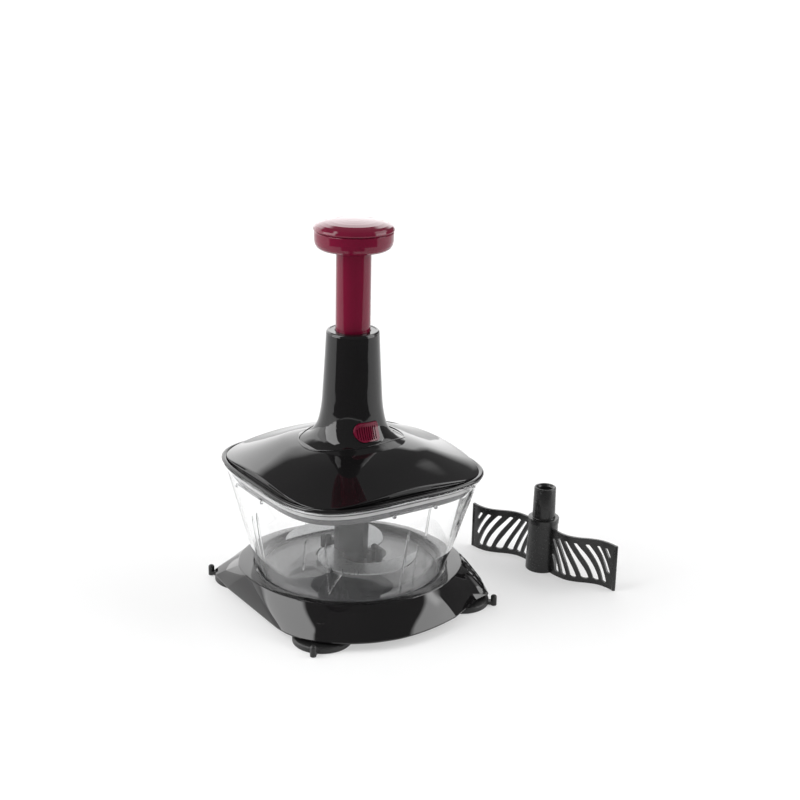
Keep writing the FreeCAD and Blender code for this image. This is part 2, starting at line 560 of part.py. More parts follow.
b = new_body("knob_base")
kl = S("knob_low")
revolve(b, "knob_base_solid", [
    (2.2, S("tube_high")), (12.75, S("tube_high")), (12.75, kl), (k - 6.5, kl), (k - 4.0, kl + 0.5), (k - 2.2, kl + 1.9), (k - 1.1, kl + 4.0), (k - 0.6, kl + 6.6),
    (k - 0.5, ks - 0.6), (k - 1.0, ks), (25.0, ks), (25.0, ks - 0.2), (2.2, ks - 0.2)])
keep(b)

b = new_body("knob_screw")
revolve(b, "knob_screw_solid", [(0, S("tube_web") + 1.0), (1.55, S("tube_web") + 1.6), (1.55, ks - 0.15), (4.0, ks - 0.15), (4.0, ks + 0.9), (3.0, ks + 1.9), (0, ks + 1.9)])
keep(b)

b = new_body("plunger_tube")
tr, tbr = S("tube_radius"), S("tube_bore")
revolve(b, "tube_solid", [
    (tbr, S("tube_low")), (tr, S("tube_low")), (tr, S("tube_high") - 0.05), (0, S("tube_high") - 0.05), (0, S("tube_web")), (tbr, S("tube_web"))])
doc.recompute()
for i, sg in enumerate((1, -1)):
    sk = sketch_on(b, "ear_outline_%d" % i, "XY_Plane", S("tube_low"))
    polygon(sk, [(q(sg) * 11.6, -4.0), (q(sg) * S("ear_radius"), -4.0), (q(sg) * S("ear_radius"), 4.0), (q(sg) * 11.6, 4.0)])
    extrude(b, "ear_%d" % i, sk, S("ear_height"))
    doc.recompute()
sk = sketch_on(b, "screw_hole_outline", "XY_Plane", S("tube_high"))
ring(sk, 0, 0, 1.6)
extrude(b, "screw_hole", sk, 7.5, cut=True)
doc.recompute()
# window in the front of the tube that the lock tongue enters when the plunger is down
before = b.Shape.Volume
sk = sketch_on(b, "window_outline", "XZ_Plane", S("tube_radius") + 1.0)
polygon(sk, [(-6.3, 193.4), (6.3, 193.4), (6.3, 198.6), (-6.3, 198.6)])
f = extrude(b, "window", sk, 9.0, cut=True)
doc.recompute()
if abs(b.Shape.Volume - before) < 1.0:
    f.Reversed = True
    doc.recompute()
if not 20.0 < before - b.Shape.Volume < 260.0:
    raise SystemExit("lock window is wrong: %.1f" % (before - b.Shape.Volume))
keep(b)


# Flat bar twisted about the axis; its lead drives the shaft.
def twisted(width, thick, z0, z1, steps, r_corner=0.0):
    wires = []
    for i in range(steps + 1):
        z = z0 + (z1 - z0) * i / steps
        a = 2 * math.pi * (z - D["bar_low"]) / D["bar_lead"]
        c, s = math.cos(a), math.sin(a)
        pts = []
        for u, v in ((-width / 2, -thick / 2), (width / 2, -thick / 2), (width / 2, thick / 2), (-width / 2, thick / 2)):
            pts.append(Vector(u * c - v * s, u * s + v * c, z))
        wires.append(Part.makePolygon(pts + [pts[0]]))
    return Part.makeLoft(wires, True, False)


bar = twisted(D["bar_width"], D["bar_thick"], D["bar_low"], D["bar_high"], 45)
jr = D["journal_radius"]
bar = bar.fuse(cyl(jr, 79.5, 96.4)).fuse(Part.makeCone(jr, 4.3, 0.9, Vector(0, 0, 96.2), Vector(0, 0, 1))).fuse(cyl(1.4, 171.0, 174.6)).cut(cyl(1.2, 78.0, 86.0))
feature("twist_bar", bar)
nut_cut = twisted(D["bar_width"] + 0.7, D["bar_thick"] + 0.7, 153.0, 167.0, 12)
nut = cyl(10.55, 156.1, 163.5).cut(nut_cut)
for i in range(8):
    tooth = box(8.0, 10.4, -1.1, 1.1, 163.4, 164.6)
    tooth.rotate(Vector(0, 0, 0), Vector(0, 0, 1), 45 * i)
    nut = nut.fuse(tooth)
feature("drive_nut", nut.removeSplitter())
ratchet = cyl(10.6, 164.7, 168.7).cut(cyl(6.2, 160, 170))
for i in range(8):
    tooth = box(8.0, 10.4, -1.0, 1.0, 163.6, 164.8)
    tooth.rotate(Vector(0, 0, 0), Vector(0, 0, 1), 45 * i + 22.5)
    ratchet = ratchet.fuse(tooth)
feature("ratchet_ring", ratchet.removeSplitter())

b = new_body("nut_retainer")
revolve(b, "retainer_solid", [(6.2, S("tube_low") + 0.1), (10.65, S("tube_low") + 0.1), (10.65, S("tube_low") + 2.0), (6.2, S("tube_low") + 2.0)])
keep(b)

sr, sw, sn = D["spring_radius"], D["spring_wire"], D["spring_turns"]
zs0, zs1 = 176.0 + sw / 2, D["tube_web"] - 0.05 - sw / 2
helix = Part.makeHelix((zs1 - zs0) / sn, zs1 - zs0, sr)
helix.translate(Vector(0, 0, zs0))
prof = Part.Wire([Part.makeCircle(sw / 2, Vector(sr, 0, zs0), Vector(0, 1, 0))])
spring = Part.Wire(helix.Edges).makePipeShell([prof], True, True)
feature("return_spring", spring)

# ---------------------------------------------------------------- drive shaft
b = new_body("spring_seat")
revolve(b, "seat_solid", [(1.45, S("bar_high") + 0.05), (7.2, S("bar_high") + 0.05), (9.3, S("bar_high") + 1.4), (9.3, S("bar_high") + 3.8), (6.3, S("bar_high") + 3.8), (6.3, S("bar_high") + 3.0), (1.45, S("bar_high") + 3.0)])
keep(b)
b = new_body("thrust_washer")
revolve(b, "washer_solid", [(3.05, 95.45), (5.5, 95.45), (5.5, 96.15), (3.05, 96.15)])
keep(b)
dog = Part.Face(Part.makePolygon([Vector(5.2 * math.cos(math.radians(60 * i)), 5.2 * math.sin(math.radians(60 * i)), 78.5) for i in range(7)])).extrude(Vector(0, 0, 13.2))
dog = dog.cut(cyl(jr, 79.5, 92.0)).cut(cyl(1.35, 78.0, 80.0))
feature("drive_dog", dog)
b = new_body("dog_screw")
revolve(b, "dog_screw_solid", [(0, 75.8), (2.4, 75.8), (3.0, 76.4), (3.0, 78.45), (1.15, 78.45), (1.15, 85.6), (0, 85.9)])
keep(b)

# --------------------------------------------------------------- loose paddle
px, py = D["paddle_x"], D["paddle_y"]
LINE = [(0.0, -10.5), (0.4, -20.0), (2.4, -29.0), (7.2, -36.0), (13.0, -41.5), (18.0, -48.0), (20.4, -55.5), (21.0, -62.8)]


def vane(sign, half, z0, z1, trim=0.0):
    mid = Part.BSplineCurve()
    mid.interpolate(Points=[Vector(sign * x, sign * y, 0) for x, y in LINE])
    n = 24
    left, right = [], []
    last = mid.LastParameter - trim * (mid.LastParameter - mid.FirstParameter)
    for i in range(n + 1):
        u = mid.FirstParameter + (last - mid.FirstParameter) * i / n
        p = mid.value(u)
        tg = mid.tangent(u)[0]
        nv = Vector(-tg.y, tg.x, 0)
        left.append(p + nv * half)
        right.append(p - nv * half)
    cl, cr = Part.BSplineCurve(), Part.BSplineCurve()
    cl.interpolate(Points=left)
    cr.interpolate(Points=right[::-1])
    wire = Part.Wire([cl.toShape(), Part.LineSegment(left[-1], right[-1]).toShape(), cr.toShape(), Part.LineSegment(right[0], left[0]).toShape()])
    face = Part.Face(wire)
    face.translate(Vector(0, 0, z0))
    return face.extrude(Vector(0, 0, z1 - z0))


vh, vt = D["vane_height"], D["vane_thick"]
paddle = None
for sign in (1, -1):
    v = vane(sign, vt / 2, 0.2, vh)
    # curved slanted slots, cut straight through along X: top end nearer the hub
    mask = vane(sign, 3.4, 4.8, vh - 5.6)
    for i in range(9):
        top = 12.4 + 6.7 * i - 5.4
        pts = []
        for k in range(7):
            g = k / 6.0
            y = top + 13.0 * (1 - (1 - g) ** 1.6) * 0.55 + 13.0 * g * 0.45
            z = (vh - 5.6) - g * (vh - 10.4)
            pts.append((y, z, 1.05 + 0.45 * g))
        lo = [Vector(-60, sign * -(y - hw), z) for y, z, hw in pts]
        hi = [Vector(-60, sign * -(y + hw), z) for y, z, hw in pts]
        poly = Part.makePolygon(lo + hi[::-1] + [lo[0]])
        slot = Part.Face(poly).extrude(Vector(120, 0, 0))
        lim = box(-60, 60, 13.6, 58.6, 4.8, vh - 5.6) if sign < 0 else box(-60, 60, -58.6, -13.6, 4.8, vh - 5.6)
        v = v.cut(slot.common(lim).common(mask))
    # rim bead down the outer edge
    tip = LINE[-1]
    bead = cyl(vt / 2 + 0.7, 0.2, vh, sign * tip[0], sign * tip[1])
    v = v.fuse(bead)
    paddle = v if paddle is None else paddle.fuse(v)
hub = Part.makeCone(12.4, 11.6, 39.3, Vector(0, 0, 0.2), Vector(0, 0, 1)).fuse(cyl(12.1, 39.5, 43.9)).fuse(
    Part.makeCone(8.9, 8.4, 25.1, Vector(0, 0, 43.9), Vector(0, 0, 1)))
paddle = paddle.fuse(hub).cut(cyl(D["hub_bore"], 0.0, 26.0))
hexa = Part.Face(Part.makePolygon([Vector(5.7 * math.cos(math.radians(60 * i)), 5.7 * math.sin(math.radians(60 * i)), 47.0) for i in range(7)])).extrude(Vector(0, 0, 30))
paddle = paddle.cut(hexa).cut(Part.makeCone(5.4, 7.0, 1.7, Vector(0, 0, 67.4), Vector(0, 0, 1)))
paddle = paddle.removeSplitter()
f = feature("mixing_paddle", paddle)
f.Placement = Placement(Vector(px, py, 0), Rotation())

# ------------------------------------------------------------- check and save
doc.recompute()
bad = []
for o in doc.Objects:
    if "Invalid" in o.State or "Error" in o.State:
        bad.append("%s %s" % (o.Name, o.State))
for name, o in PARTS.items():
    s = o.Shape
    if s.isNull() or not s.isValid() or not s.Solids:
        bad.append("%s shape" % name)
if bad:
    raise SystemExit("failed: " + "; ".join(bad))
for name, o in PARTS.items():
    o.Shape.exportStep("parts/%s.step" % name)
    bb = o.Shape.BoundBox
    print("%-24s solids %d  vol %9.1f  x %.1f..%.1f  y %.1f..%.1f  z %.1f..%.1f" % (
        name, len(o.Shape.Solids), o.Shape.Volume, bb.XMin, bb.XMax, bb.YMin, bb.YMax, bb.ZMin, bb.ZMax))
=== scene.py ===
import math

import bmesh
import bpy
from mathutils import Matrix, Vector


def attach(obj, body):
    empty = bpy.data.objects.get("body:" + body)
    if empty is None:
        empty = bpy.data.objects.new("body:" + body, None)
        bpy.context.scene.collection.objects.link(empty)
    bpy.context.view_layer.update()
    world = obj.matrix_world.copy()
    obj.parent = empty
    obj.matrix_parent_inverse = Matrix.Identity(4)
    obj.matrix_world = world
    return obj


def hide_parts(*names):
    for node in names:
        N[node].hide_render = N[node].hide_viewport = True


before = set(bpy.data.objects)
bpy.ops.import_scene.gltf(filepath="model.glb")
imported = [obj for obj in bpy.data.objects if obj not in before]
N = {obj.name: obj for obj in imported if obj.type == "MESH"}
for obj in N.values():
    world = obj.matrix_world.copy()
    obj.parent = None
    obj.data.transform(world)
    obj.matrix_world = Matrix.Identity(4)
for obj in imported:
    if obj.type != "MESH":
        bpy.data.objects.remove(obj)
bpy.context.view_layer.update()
MM = 0.001
scene = bpy.context.scene


# ------------------------------------------------------------------- camera
cam_data = bpy.data.cameras.new("view_camera")
cam = bpy.data.objects.new("view_camera", cam_data)
scene.collection.objects.link(cam)
cam_data.lens = 66.43
cam_data.sensor_width = 36.0
cam_data.sensor_fit = "HORIZONTAL"
cam_data.clip_start = 0.01
cam_data.clip_end = 200.0
fwd = Vector((0.5299, 0.7887, -0.3117)).normalized()
right = Vector((0.8337, -0.5519, 0.0210))
right = (right - fwd * right.dot(fwd)).normalized()
up = right.cross(fwd).normalized()
m = Matrix((right, up, -fwd)).transposed().to_4x4()
m.translation = Vector((-0.5454, -0.8748, 0.4920))
cam.matrix_world = m
scene.camera = cam

# ------------------------------------------------------------ light and floor
scene.view_settings.view_transform = "Standard"
scene.view_settings.look = "None"
scene.view_settings.exposure = 0.0
scene.view_settings.gamma = 1.0

world = bpy.data.worlds.new("studio")
scene.world = world
world.use_nodes = True
wt = world.node_tree
wt.nodes.clear()


def wmath(op, a, b=None, c=None, clamp=False):
    n = wt.nodes.new("ShaderNodeMath")
    n.operation = op
    n.use_clamp = clamp
    for i, v in enumerate((a, b, c)):
        if v is None:
            continue
        if isinstance(v, (int, float)):
            n.inputs[i].default_value = v
        else:
            wt.links.new(v, n.inputs[i])
    return n.outputs[0]


tc = wt.nodes.new("ShaderNodeTexCoord")
FH = (0.558, 0.830, 0.0)
RH = (0.830, -0.558, 0.0)


def dot(vec):
    n = wt.nodes.new("ShaderNodeVectorMath")
    n.operation = "DOT_PRODUCT"
    wt.links.new(tc.outputs["Generated"], n.inputs[0])
    n.inputs[1].default_value = vec
    return n.outputs["Value"]


azimuth = wmath("MULTIPLY", wmath("ARCTAN2", dot(RH), dot(FH)), 180.0 / math.pi)
height = wmath("MULTIPLY", wmath("ARCSINE", dot((0.0, 0.0, 1.0))), 180.0 / math.pi)


def step_up(x, edge, soft):
    return wmath("MULTIPLY_ADD", x, 1.0 / (2 * soft), 0.5 - edge / (2 * soft), clamp=True)


def panel(a0, a1, e0, e1, level, soft=2.0):
    """A soft-edged light panel between two azimuths and two heights, in degrees."""
    m1 = wmath("MULTIPLY", step_up(azimuth, a0, soft), wmath("SUBTRACT", 1.0, step_up(azimuth, a1, soft)))
    m2 = wmath("MULTIPLY", step_up(height, e0, soft), wmath("SUBTRACT", 1.0, step_up(height, e1, soft)))
    return wmath("MULTIPLY", wmath("MULTIPLY", m1, m2), level)


total = 0.22
for args in ((-125, -83, -20, 62, 4.8, 1.5), (-83, -62, -20, 40, 1.8, 4.0), (-62, 16, -20, 33, 2.15, 2.5), (74, 111, -20, 43, 4.2, 1.5), (25, 80, 34, 56, 2.1, 2.0)):
    total = wmath("ADD", panel(*args), total)
lp = wt.nodes.new("ShaderNodeLightPath")
plain = wmath("MAXIMUM", lp.outputs["Is Camera Ray"], lp.outputs["Is Transmission Ray"])
level = wmath("ADD", wmath("MULTIPLY", total, wmath("SUBTRACT", 1.0, plain)), wmath("MULTIPLY", plain, 0.96))
bg = wt.nodes.new("ShaderNodeBackground")
wo = wt.nodes.new("ShaderNodeOutputWorld")
wt.links.new(level, bg.inputs["Strength"])
bg.inputs["Color"].default_value = (1, 1, 1, 1)
wt.links.new(bg.outputs[0], wo.inputs["Surface"])

F = Vector(FH)
R = Vector(RH)


def nodes_of(name):
    mt = bpy.data.materials.new(name)
    mt.use_nodes = True
    nt = mt.node_tree
    nt.nodes.clear()
    out = nt.nodes.new("ShaderNodeOutputMaterial")
    p = nt.nodes.new("ShaderNodeBsdfPrincipled")
    nt.links.new(p.outputs[0], out.inputs["Surface"])
    return mt, nt, p, out


def noise(nt, scale, detail=3.0, rough=0.5, stretch=None):
    t = nt.nodes.new("ShaderNodeTexCoord")
    n = nt.nodes.new("ShaderNodeTexNoise")
    n.inputs["Scale"].default_value = scale
    n.inputs["Detail"].default_value = detail
    n.inputs["Roughness"].default_value = rough
    if stretch:
        mp = nt.nodes.new("ShaderNodeMapping")
        mp.inputs["Scale"].default_value = stretch
        nt.links.new(t.outputs["Object"], mp.inputs["Vector"])
        nt.links.new(mp.outputs[0], n.inputs["Vector"])
    else:
        nt.links.new(t.outputs["Object"], n.inputs["Vector"])
    return n


def ramp2(nt, src, lo, hi, p0=0.3, p1=0.7):
    r = nt.nodes.new("ShaderNodeValToRGB")
    r.color_ramp.elements[0].position = p0
    r.color_ramp.elements[1].position = p1
    r.color_ramp.elements[0].color = (*lo, 1)
    r.color_ramp.elements[1].color = (*hi, 1)
    nt.links.new(src, r.inputs[0])
    return r.outputs[0]


def mrange(nt, src, lo, hi, a=0.3, b=0.7):
    r = nt.nodes.new("ShaderNodeMapRange")
    r.inputs["From Min"].default_value = a
    r.inputs["From Max"].default_value = b
    r.inputs["To Min"].default_value = lo
    r.inputs["To Max"].default_value = hi
    nt.links.new(src, r.inputs["Value"])
    return r.outputs[0]


def plastic(name, lo, hi, rough=(0.08, 0.13), wave=0.02, wave_scale=14.0, grain=0.0, grain_scale=900.0, ior=1.5, coat=0.0):
    """Moulded plastic: faint colour drift, uneven gloss, a slow moulding wave and, where it has one, a fine texture."""
    mt, nt, p, out = nodes_of(name)
    a = noise(nt, 22.0, 2.0)
    nt.links.new(ramp2(nt, a.outputs["Fac"], lo, hi), p.inputs["Base Color"])
    b = noise(nt, 160.0, 4.0)
    nt.links.new(mrange(nt, b.outputs["Fac"], rough[0], rough[1]), p.inputs["Roughness"])
    c = noise(nt, wave_scale, 1.0)
    bump = nt.nodes.new("ShaderNodeBump")
    bump.inputs["Strength"].default_value = wave
    bump.inputs["Distance"].default_value = 0.01
    nt.links.new(c.outputs["Fac"], bump.inputs["Height"])
    last = bump
    if grain:
        g = noise(nt, grain_scale, 2.0)
        bump2 = nt.nodes.new("ShaderNodeBump")
        bump2.inputs["Strength"].default_value = grain
        bump2.inputs["Distance"].default_value = 0.0004
        nt.links.new(g.outputs["Fac"], bump2.inputs["Height"])
        nt.links.new(bump.outputs[0], bump2.inputs["Normal"])
        last = bump2
    nt.links.new(last.outputs[0], p.inputs["Normal"])
    p.inputs["IOR"].default_value = ior
    p.inputs["Coat Weight"].default_value = coat
    p.inputs["Coat Roughness"].default_value = 0.04
    return mt


def clear(name, tint, rough=(0.0, 0.02), ior=1.5):
    """Clear moulded plastic that lets lamps through, with faint moulding waves."""
    mt, nt, p, out = nodes_of(name)
    p.inputs["Transmission Weight"].default_value = 1.0
    p.inputs["IOR"].default_value = ior
    a = noise(nt, 30.0, 2.0)
    nt.links.new(ramp2(nt, a.outputs["Fac"], tint, tuple(min(1.0, c * 1.015) for c in tint)), p.inputs["Base Color"])
    b = noise(nt, 60.0, 2.0)
    nt.links.new(mrange(nt, b.outputs["Fac"], rough[0], rough[1]), p.inputs["Roughness"])
    c = noise(nt, 18.0, 1.0)
    bump = nt.nodes.new("ShaderNodeBump")
    bump.inputs["Strength"].default_value = 0.015
    bump.inputs["Distance"].default_value = 0.01
    nt.links.new(c.outputs["Fac"], bump.inputs["Height"])
    nt.links.new(bump.outputs[0], p.inputs["Normal"])
    lp = nt.nodes.new("ShaderNodeLightPath")
    tr = nt.nodes.new("ShaderNodeBsdfTransparent")
    tr.inputs[0].default_value = (0.93, 0.93, 0.93, 1)
    mix = nt.nodes.new("ShaderNodeMixShader")
    nt.links.new(lp.outputs["Is Shadow Ray"], mix.inputs[0])
    nt.links.new(p.outputs[0], mix.inputs[1])
    nt.links.new(tr.outputs[0], mix.inputs[2])
    nt.links.new(mix.outputs[0], out.inputs["Surface"])
    return mt


def metal(name, lo, hi, rough=(0.18, 0.32), stretch=(40, 40, 2), scale=60.0, bump_s=0.05):
    mt, nt, p, out = nodes_of(name)
    p.inputs["Metallic"].default_value = 1.0
    a = noise(nt, scale, 4.0, 0.6, stretch)
    nt.links.new(ramp2(nt, a.outputs["Fac"], lo, hi), p.inputs["Base Color"])
    nt.links.new(mrange(nt, a.outputs["Fac"], rough[0], rough[1]), p.inputs["Roughness"])
    bump = nt.nodes.new("ShaderNodeBump")
    bump.inputs["Strength"].default_value = bump_s
    bump.inputs["Distance"].default_value = 0.0003
    nt.links.new(a.outputs["Fac"], bump.inputs["Height"])
    nt.links.new(bump.outputs[0], p.inputs["Normal"])
    return mt


def rubber(name, lo, hi):
    mt, nt, p, out = nodes_of(name)
    a = noise(nt, 60.0, 4.0)
    nt.links.new(ramp2(nt, a.outputs["Fac"], lo, hi), p.inputs["Base Color"])
    b = noise(nt, 220.0, 3.0)
    nt.links.new(mrange(nt, b.outputs["Fac"], 0.38, 0.55), p.inputs["Roughness"])
    bump = nt.nodes.new("ShaderNodeBump")
    bump.inputs["Strength"].default_value = 0.12
    bump.inputs["Distance"].default_value = 0.0004
    c = noise(nt, 700.0, 3.0)
    nt.links.new(c.outputs["Fac"], bump.inputs["Height"])
    nt.links.new(bump.outputs[0], p.inputs["Normal"])
    return mt


M = {
    "burgundy": plastic("burgundy_gloss", (0.138, 0.0034, 0.0225), (0.152, 0.0042, 0.0260), (0.05, 0.09), 0.006, ior=1.43),
    "black_gloss": plastic("black_gloss", (0.0050, 0.0047, 0.0050), (0.0066, 0.0060, 0.0064), (0.03, 0.06), 0.010),
    "clear_plastic": clear("bowl_clear", (0.985, 0.988, 0.990)),
    # The recess floor's grey colour is painted reflection: it stands in for the bright backdrop mirrored in the black
    # floor of the recess.
    "recess": plastic("recess_floor", (0.085, 0.085, 0.087), (0.100, 0.100, 0.102), (0.02, 0.05), 0.006, ior=2.05),
    "liner": plastic("liner_grey", (0.050, 0.050, 0.052), (0.062, 0.062, 0.064), (0.12, 0.2), 0.01),
    "cup_rubber": rubber("cup_rubber", (0.008, 0.008, 0.008), (0.014, 0.014, 0.014)),
    # The skirt's grey is a lighter copy of the liner grey: painted light for the brightness of the skirt seen through
    # the bowl's rim.
    "skirt": plastic("liner_skirt_painted_light_grey", (0.066, 0.066, 0.068), (0.078, 0.078, 0.080), (0.12, 0.18), 0.01),
    "seal_grey": rubber("seal_silicone", (0.45, 0.45, 0.45), (0.52, 0.52, 0.52)),
    "hub_black": plastic("hub_plastic", (0.020, 0.020, 0.021), (0.028, 0.028, 0.029), (0.16, 0.24), 0.01),
    "paddle_black": plastic("paddle_plastic", (0.009, 0.009, 0.009), (0.013, 0.013, 0.013), (0.22, 0.34), 0.02, 30.0, 0.10, 1400.0),
    "nylon": plastic("nylon", (0.72, 0.70, 0.64), (0.78, 0.76, 0.71), (0.35, 0.5), 0.02),
    "blade_steel": metal("blade_steel", (0.36, 0.365, 0.37), (0.48, 0.485, 0.49), (0.22, 0.34)),
    "steel": metal("bright_steel", (0.50, 0.51, 0.53), (0.66, 0.67, 0.69)),
    "brass": metal("turned_brass", (0.60, 0.42, 0.16), (0.78, 0.58, 0.26)),
}

floor_mat, nt, p, out = nodes_of("paper_floor")
a = noise(nt, 3.0, 2.0)
nt.links.new(ramp2(nt, a.outputs["Fac"], (0.50, 0.50, 0.50), (0.515, 0.515, 0.515)), p.inputs["Base Color"])
p.inputs["Roughness"].default_value = 0.6
p.inputs["Specular IOR Level"].default_value = 0.15
p.inputs["Emission Color"].default_value = (1, 1, 1, 1)
p.inputs["Emission Strength"].default_value = 0.46

bpy.ops.mesh.primitive_plane_add(size=60.0, location=(0, 0, 0))
floor = bpy.context.object
floor.name = "studio_floor"
floor.data.materials.append(floor_mat)

# dark studio floor in front of the paper, seen only in reflections
dark_mat, nt, p, out = nodes_of("dark_front")
a = noise(nt, 2.0, 2.0)
nt.links.new(ramp2(nt, a.outputs["Fac"], (0.0, 0.0, 0.0), (0.01, 0.01, 0.01)), p.inputs["Base Color"])
p.inputs["Roughness"].default_value = 1.0
p.inputs["Specular IOR Level"].default_value = 0.0
p.inputs["Emission Color"].default_value = (0.14, 0.14, 0.14, 1)
p.inputs["Emission Strength"].default_value = 1.0
verts = []
for f_, r_ in ((-0.36, -1.2), (-0.36, 1.2), (-6.0, 6.0), (-6.0, -6.0)):
    v = F * f_ + R * r_
    verts.append((v.x, v.y, 0.0006))
me = bpy.data.meshes.new("front_flag")
me.from_pydata(verts, [], [(0, 1, 2, 3)])
flag = bpy.data.objects.new("front_flag", me)
scene.collection.objects.link(flag)
me.materials.append(dark_mat)
flag.visible_camera = False
flag.visible_diffuse = False
flag.visible_transmission = False
flag.visible_shadow = False
flag.visible_volume_scatter = False


# ------------------------------------------------------------------- helpers
def finish_mesh(ob, angle=40.0, smooth=True):
    me = ob.data
    for pl in me.polygons:
        pl.use_smooth = smooth
    if smooth and angle is not None:
        me.set_sharp_from_angle(angle=math.radians(angle))
    return ob


def new_object(name, verts, faces, material, angle=40.0):
    me = bpy.data.meshes.new(name)
    me.from_pydata([tuple(v) for v in verts], [], faces)
    me.validate()
    ob = bpy.data.objects.new(name, me)
    scene.collection.objects.link(ob)
    me.materials.append(material)
    bm = bmesh.new()
    bm.from_mesh(me)
    bmesh.ops.remove_doubles(bm, verts=bm.verts, dist=1e-7)
    bmesh.ops.recalc_face_normals(bm, faces=bm.faces)
    bm.to_mesh(me)
    bm.free()
    return finish_mesh(ob, angle)


def skin(rings, wrap=False, cap_start=False, cap_end=False):
    """Quads between rings of equal length (mm). wrap joins the last ring to the first."""
    verts, faces = [], []
    n = len(rings[0])
    for r in rings:
        verts += [(x * MM, y * MM, z * MM) for x, y, z in r]
    k = len(rings)
    for i in range(k if wrap else k - 1):
        a, b = i * n, ((i + 1) % k) * n
        for j in range(n):
            j2 = (j + 1) % n
            faces.append((a + j, a + j2, b + j2, b + j))
    if cap_start:
        faces.append(tuple(range(n))[::-1])
    if cap_end:
        faces.append(tuple(range((k - 1) * n, k * n)))
    return verts, faces


def lathe(name, profile, material, seg=128, angle=40.0, centre=(0, 0), closed=True):
    rings = []
    for r, z in profile:
        rr = max(r, 1e-4)
        rings.append([(centre[0] + rr * math.cos(2 * math.pi * j / seg), centre[1] + rr * math.sin(2 * math.pi * j / seg), z) for j in range(seg)])
    v, f = skin(rings, wrap=closed)
    ob = new_object(name, v, f, material, angle)
    return ob


def hermite(table, z):
    """Smooth value of each column of the table at z."""
    zs = [r[0] for r in table]
    if z <= zs[0]:
        return list(table[0][1:])
    if z >= zs[-1]:
        return list(table[-1][1:])
    i = max(k for k in range(len(zs) - 1) if zs[k] <= z)
    h = zs[i + 1] - zs[i]
    t = (z - zs[i]) / h
    res = []
    for c in range(1, len(table[0])):
        y0, y1 = table[i][c], table[i + 1][c]
        d = (y1 - y0) / h
        dm = (y0 - table[i - 1][c]) / (zs[i] - zs[i - 1]) if i > 0 else d
        dp = (table[i + 2][c] - y1) / (zs[i + 2] - zs[i + 1]) if i + 2 < len(zs) else d
        m0 = 0.5 * (dm + d) if dm * d > 0 else 0.0
        m1 = 0.5 * (dp + d) if dp * d > 0 else 0.0
        if i == 0:
            m0 = d
        if i + 2 >= len(zs):
            m1 = d
        t2, t3 = t * t, t * t * t
        res.append((2 * t3 - 3 * t2 + 1) * y0 + (t3 - 2 * t2 + t) * h * m0 + (-2 * t3 + 3 * t2) * y1 + (t3 - t2) * h * m1)
    return res


def sq(t, a, b, n):
    c, s = math.cos(t), math.sin(t)
    return (abs(c / a) ** n + abs(s / b) ** n) ** (-1.0 / n)


def sq_ring(a, b, n, z, angles):
    out_ = []
    for t in angles:
        r = sq(t, a, b, n)
        out_.append((r * math.cos(t), r * math.sin(t), z))
    return out_


def fan(count, extra=()):
    a = [2 * math.pi * i / count for i in range(count)] + list(extra)
    a = sorted(x % (2 * math.pi) for x in a)
    keep = [a[0]]
    for x in a[1:]:
        if x - keep[-1] > 1e-5:
            keep.append(x)
    return keep


def put(ob, body, slot, *nodes):
    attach(ob, body)
    if nodes:
        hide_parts(*nodes)
    return ob


# ---------------------------------------------------- finish of the CAD nodes
CAD = {
    "base_shell": "black_gloss", "suction_cup_front_left": "cup_rubber", "suction_cup_front_right": "cup_rubber",
    "suction_cup_rear_right": "cup_rubber", "suction_cup_rear_left": "cup_rubber", "bowl": "clear_plastic", "centre_pin": "steel",
    "s_blade": "blade_steel", "blade_hub": "hub_black", "lid_cover": "black_gloss", "lid_liner": "liner", "lid_seal": "seal_grey",
    "drive_tower": "black_gloss", "tower_bush": "black_gloss", "tower_screws": "steel", "shaft_bush": "brass", "lock_button": "burgundy",
    "knob_cap": "burgundy", "knob_base": "burgundy", "knob_screw": "steel", "plunger_tube": "burgundy", "drive_nut": "nylon",
    "ratchet_ring": "nylon", "nut_retainer": "steel", "return_spring": "steel", "twist_bar": "steel", "spring_seat": "nylon",
    "thrust_washer": "brass", "drive_dog": "hub_black", "dog_screw": "steel", "mixing_paddle": "paddle_black"}
for name, slot in CAD.items():
    ob = N[name]
    ob.data.materials.clear()
    ob.data.materials.append(M[slot])

# ------------------------------------------------------------- lid, rebuilt
# The dome is a cone trimmed by a rounded square, so its edge stands high at the
# middle of each side and runs down to the flange at the corners.
DOME = [(79.5, 110.3, 4.2), (77.0, 111.0, 4.1), (70.2, 113.2, 3.9), (61.6, 116.1, 3.65), (53.0, 119.1, 3.35), (44.9, 121.6, 3.1),
        (37.6, 123.6, 2.85), (30.0, 124.9, 2.6), (18.2, 125.6, 2.3)]


def dome_at(a):
    rows = sorted((r[0], r[1], r[2]) for r in DOME)
    return hermite(rows, a)


def corner(t):
    """0 at the middle of a side, 1 at a corner of the rounded square."""
    r45 = sq(math.pi / 4, 79.5, 79.5, 4.2)
    return (sq(t, 79.5, 79.5, 4.2) - 79.5) / (r45 - 79.5)


ANG = [2 * math.pi * i / 360 for i in range(360)]


def ring_of(a, n, zf):
    pts = []
    for t in ANG:
        r = sq(t, a, a, n)
        pts.append((r * math.cos(t), r * math.sin(t), zf(t)))
    return pts


def dome_ring(a, lift=0.0, grow=0.0):
    z, n = dome_at(min(a, 79.5))
    fall = 5.25 * min(1.0, max(0.0, (a - 46.0) / 33.5))
    return ring_of(a + grow, n, lambda t: z + lift - fall * corner(t))


rings = []
for a in (18.2, 24.0, 30.0, 34.0, 38.0, 42.0, 46.0, 50.0, 54.0, 58.0, 62.0, 66.0, 70.0, 73.5, 76.5, 78.6):
    rings.append(dome_ring(a))
z_edge = dome_at(79.5)[0]


def edge_z(t):
    return z_edge - 5.25 * corner(t)


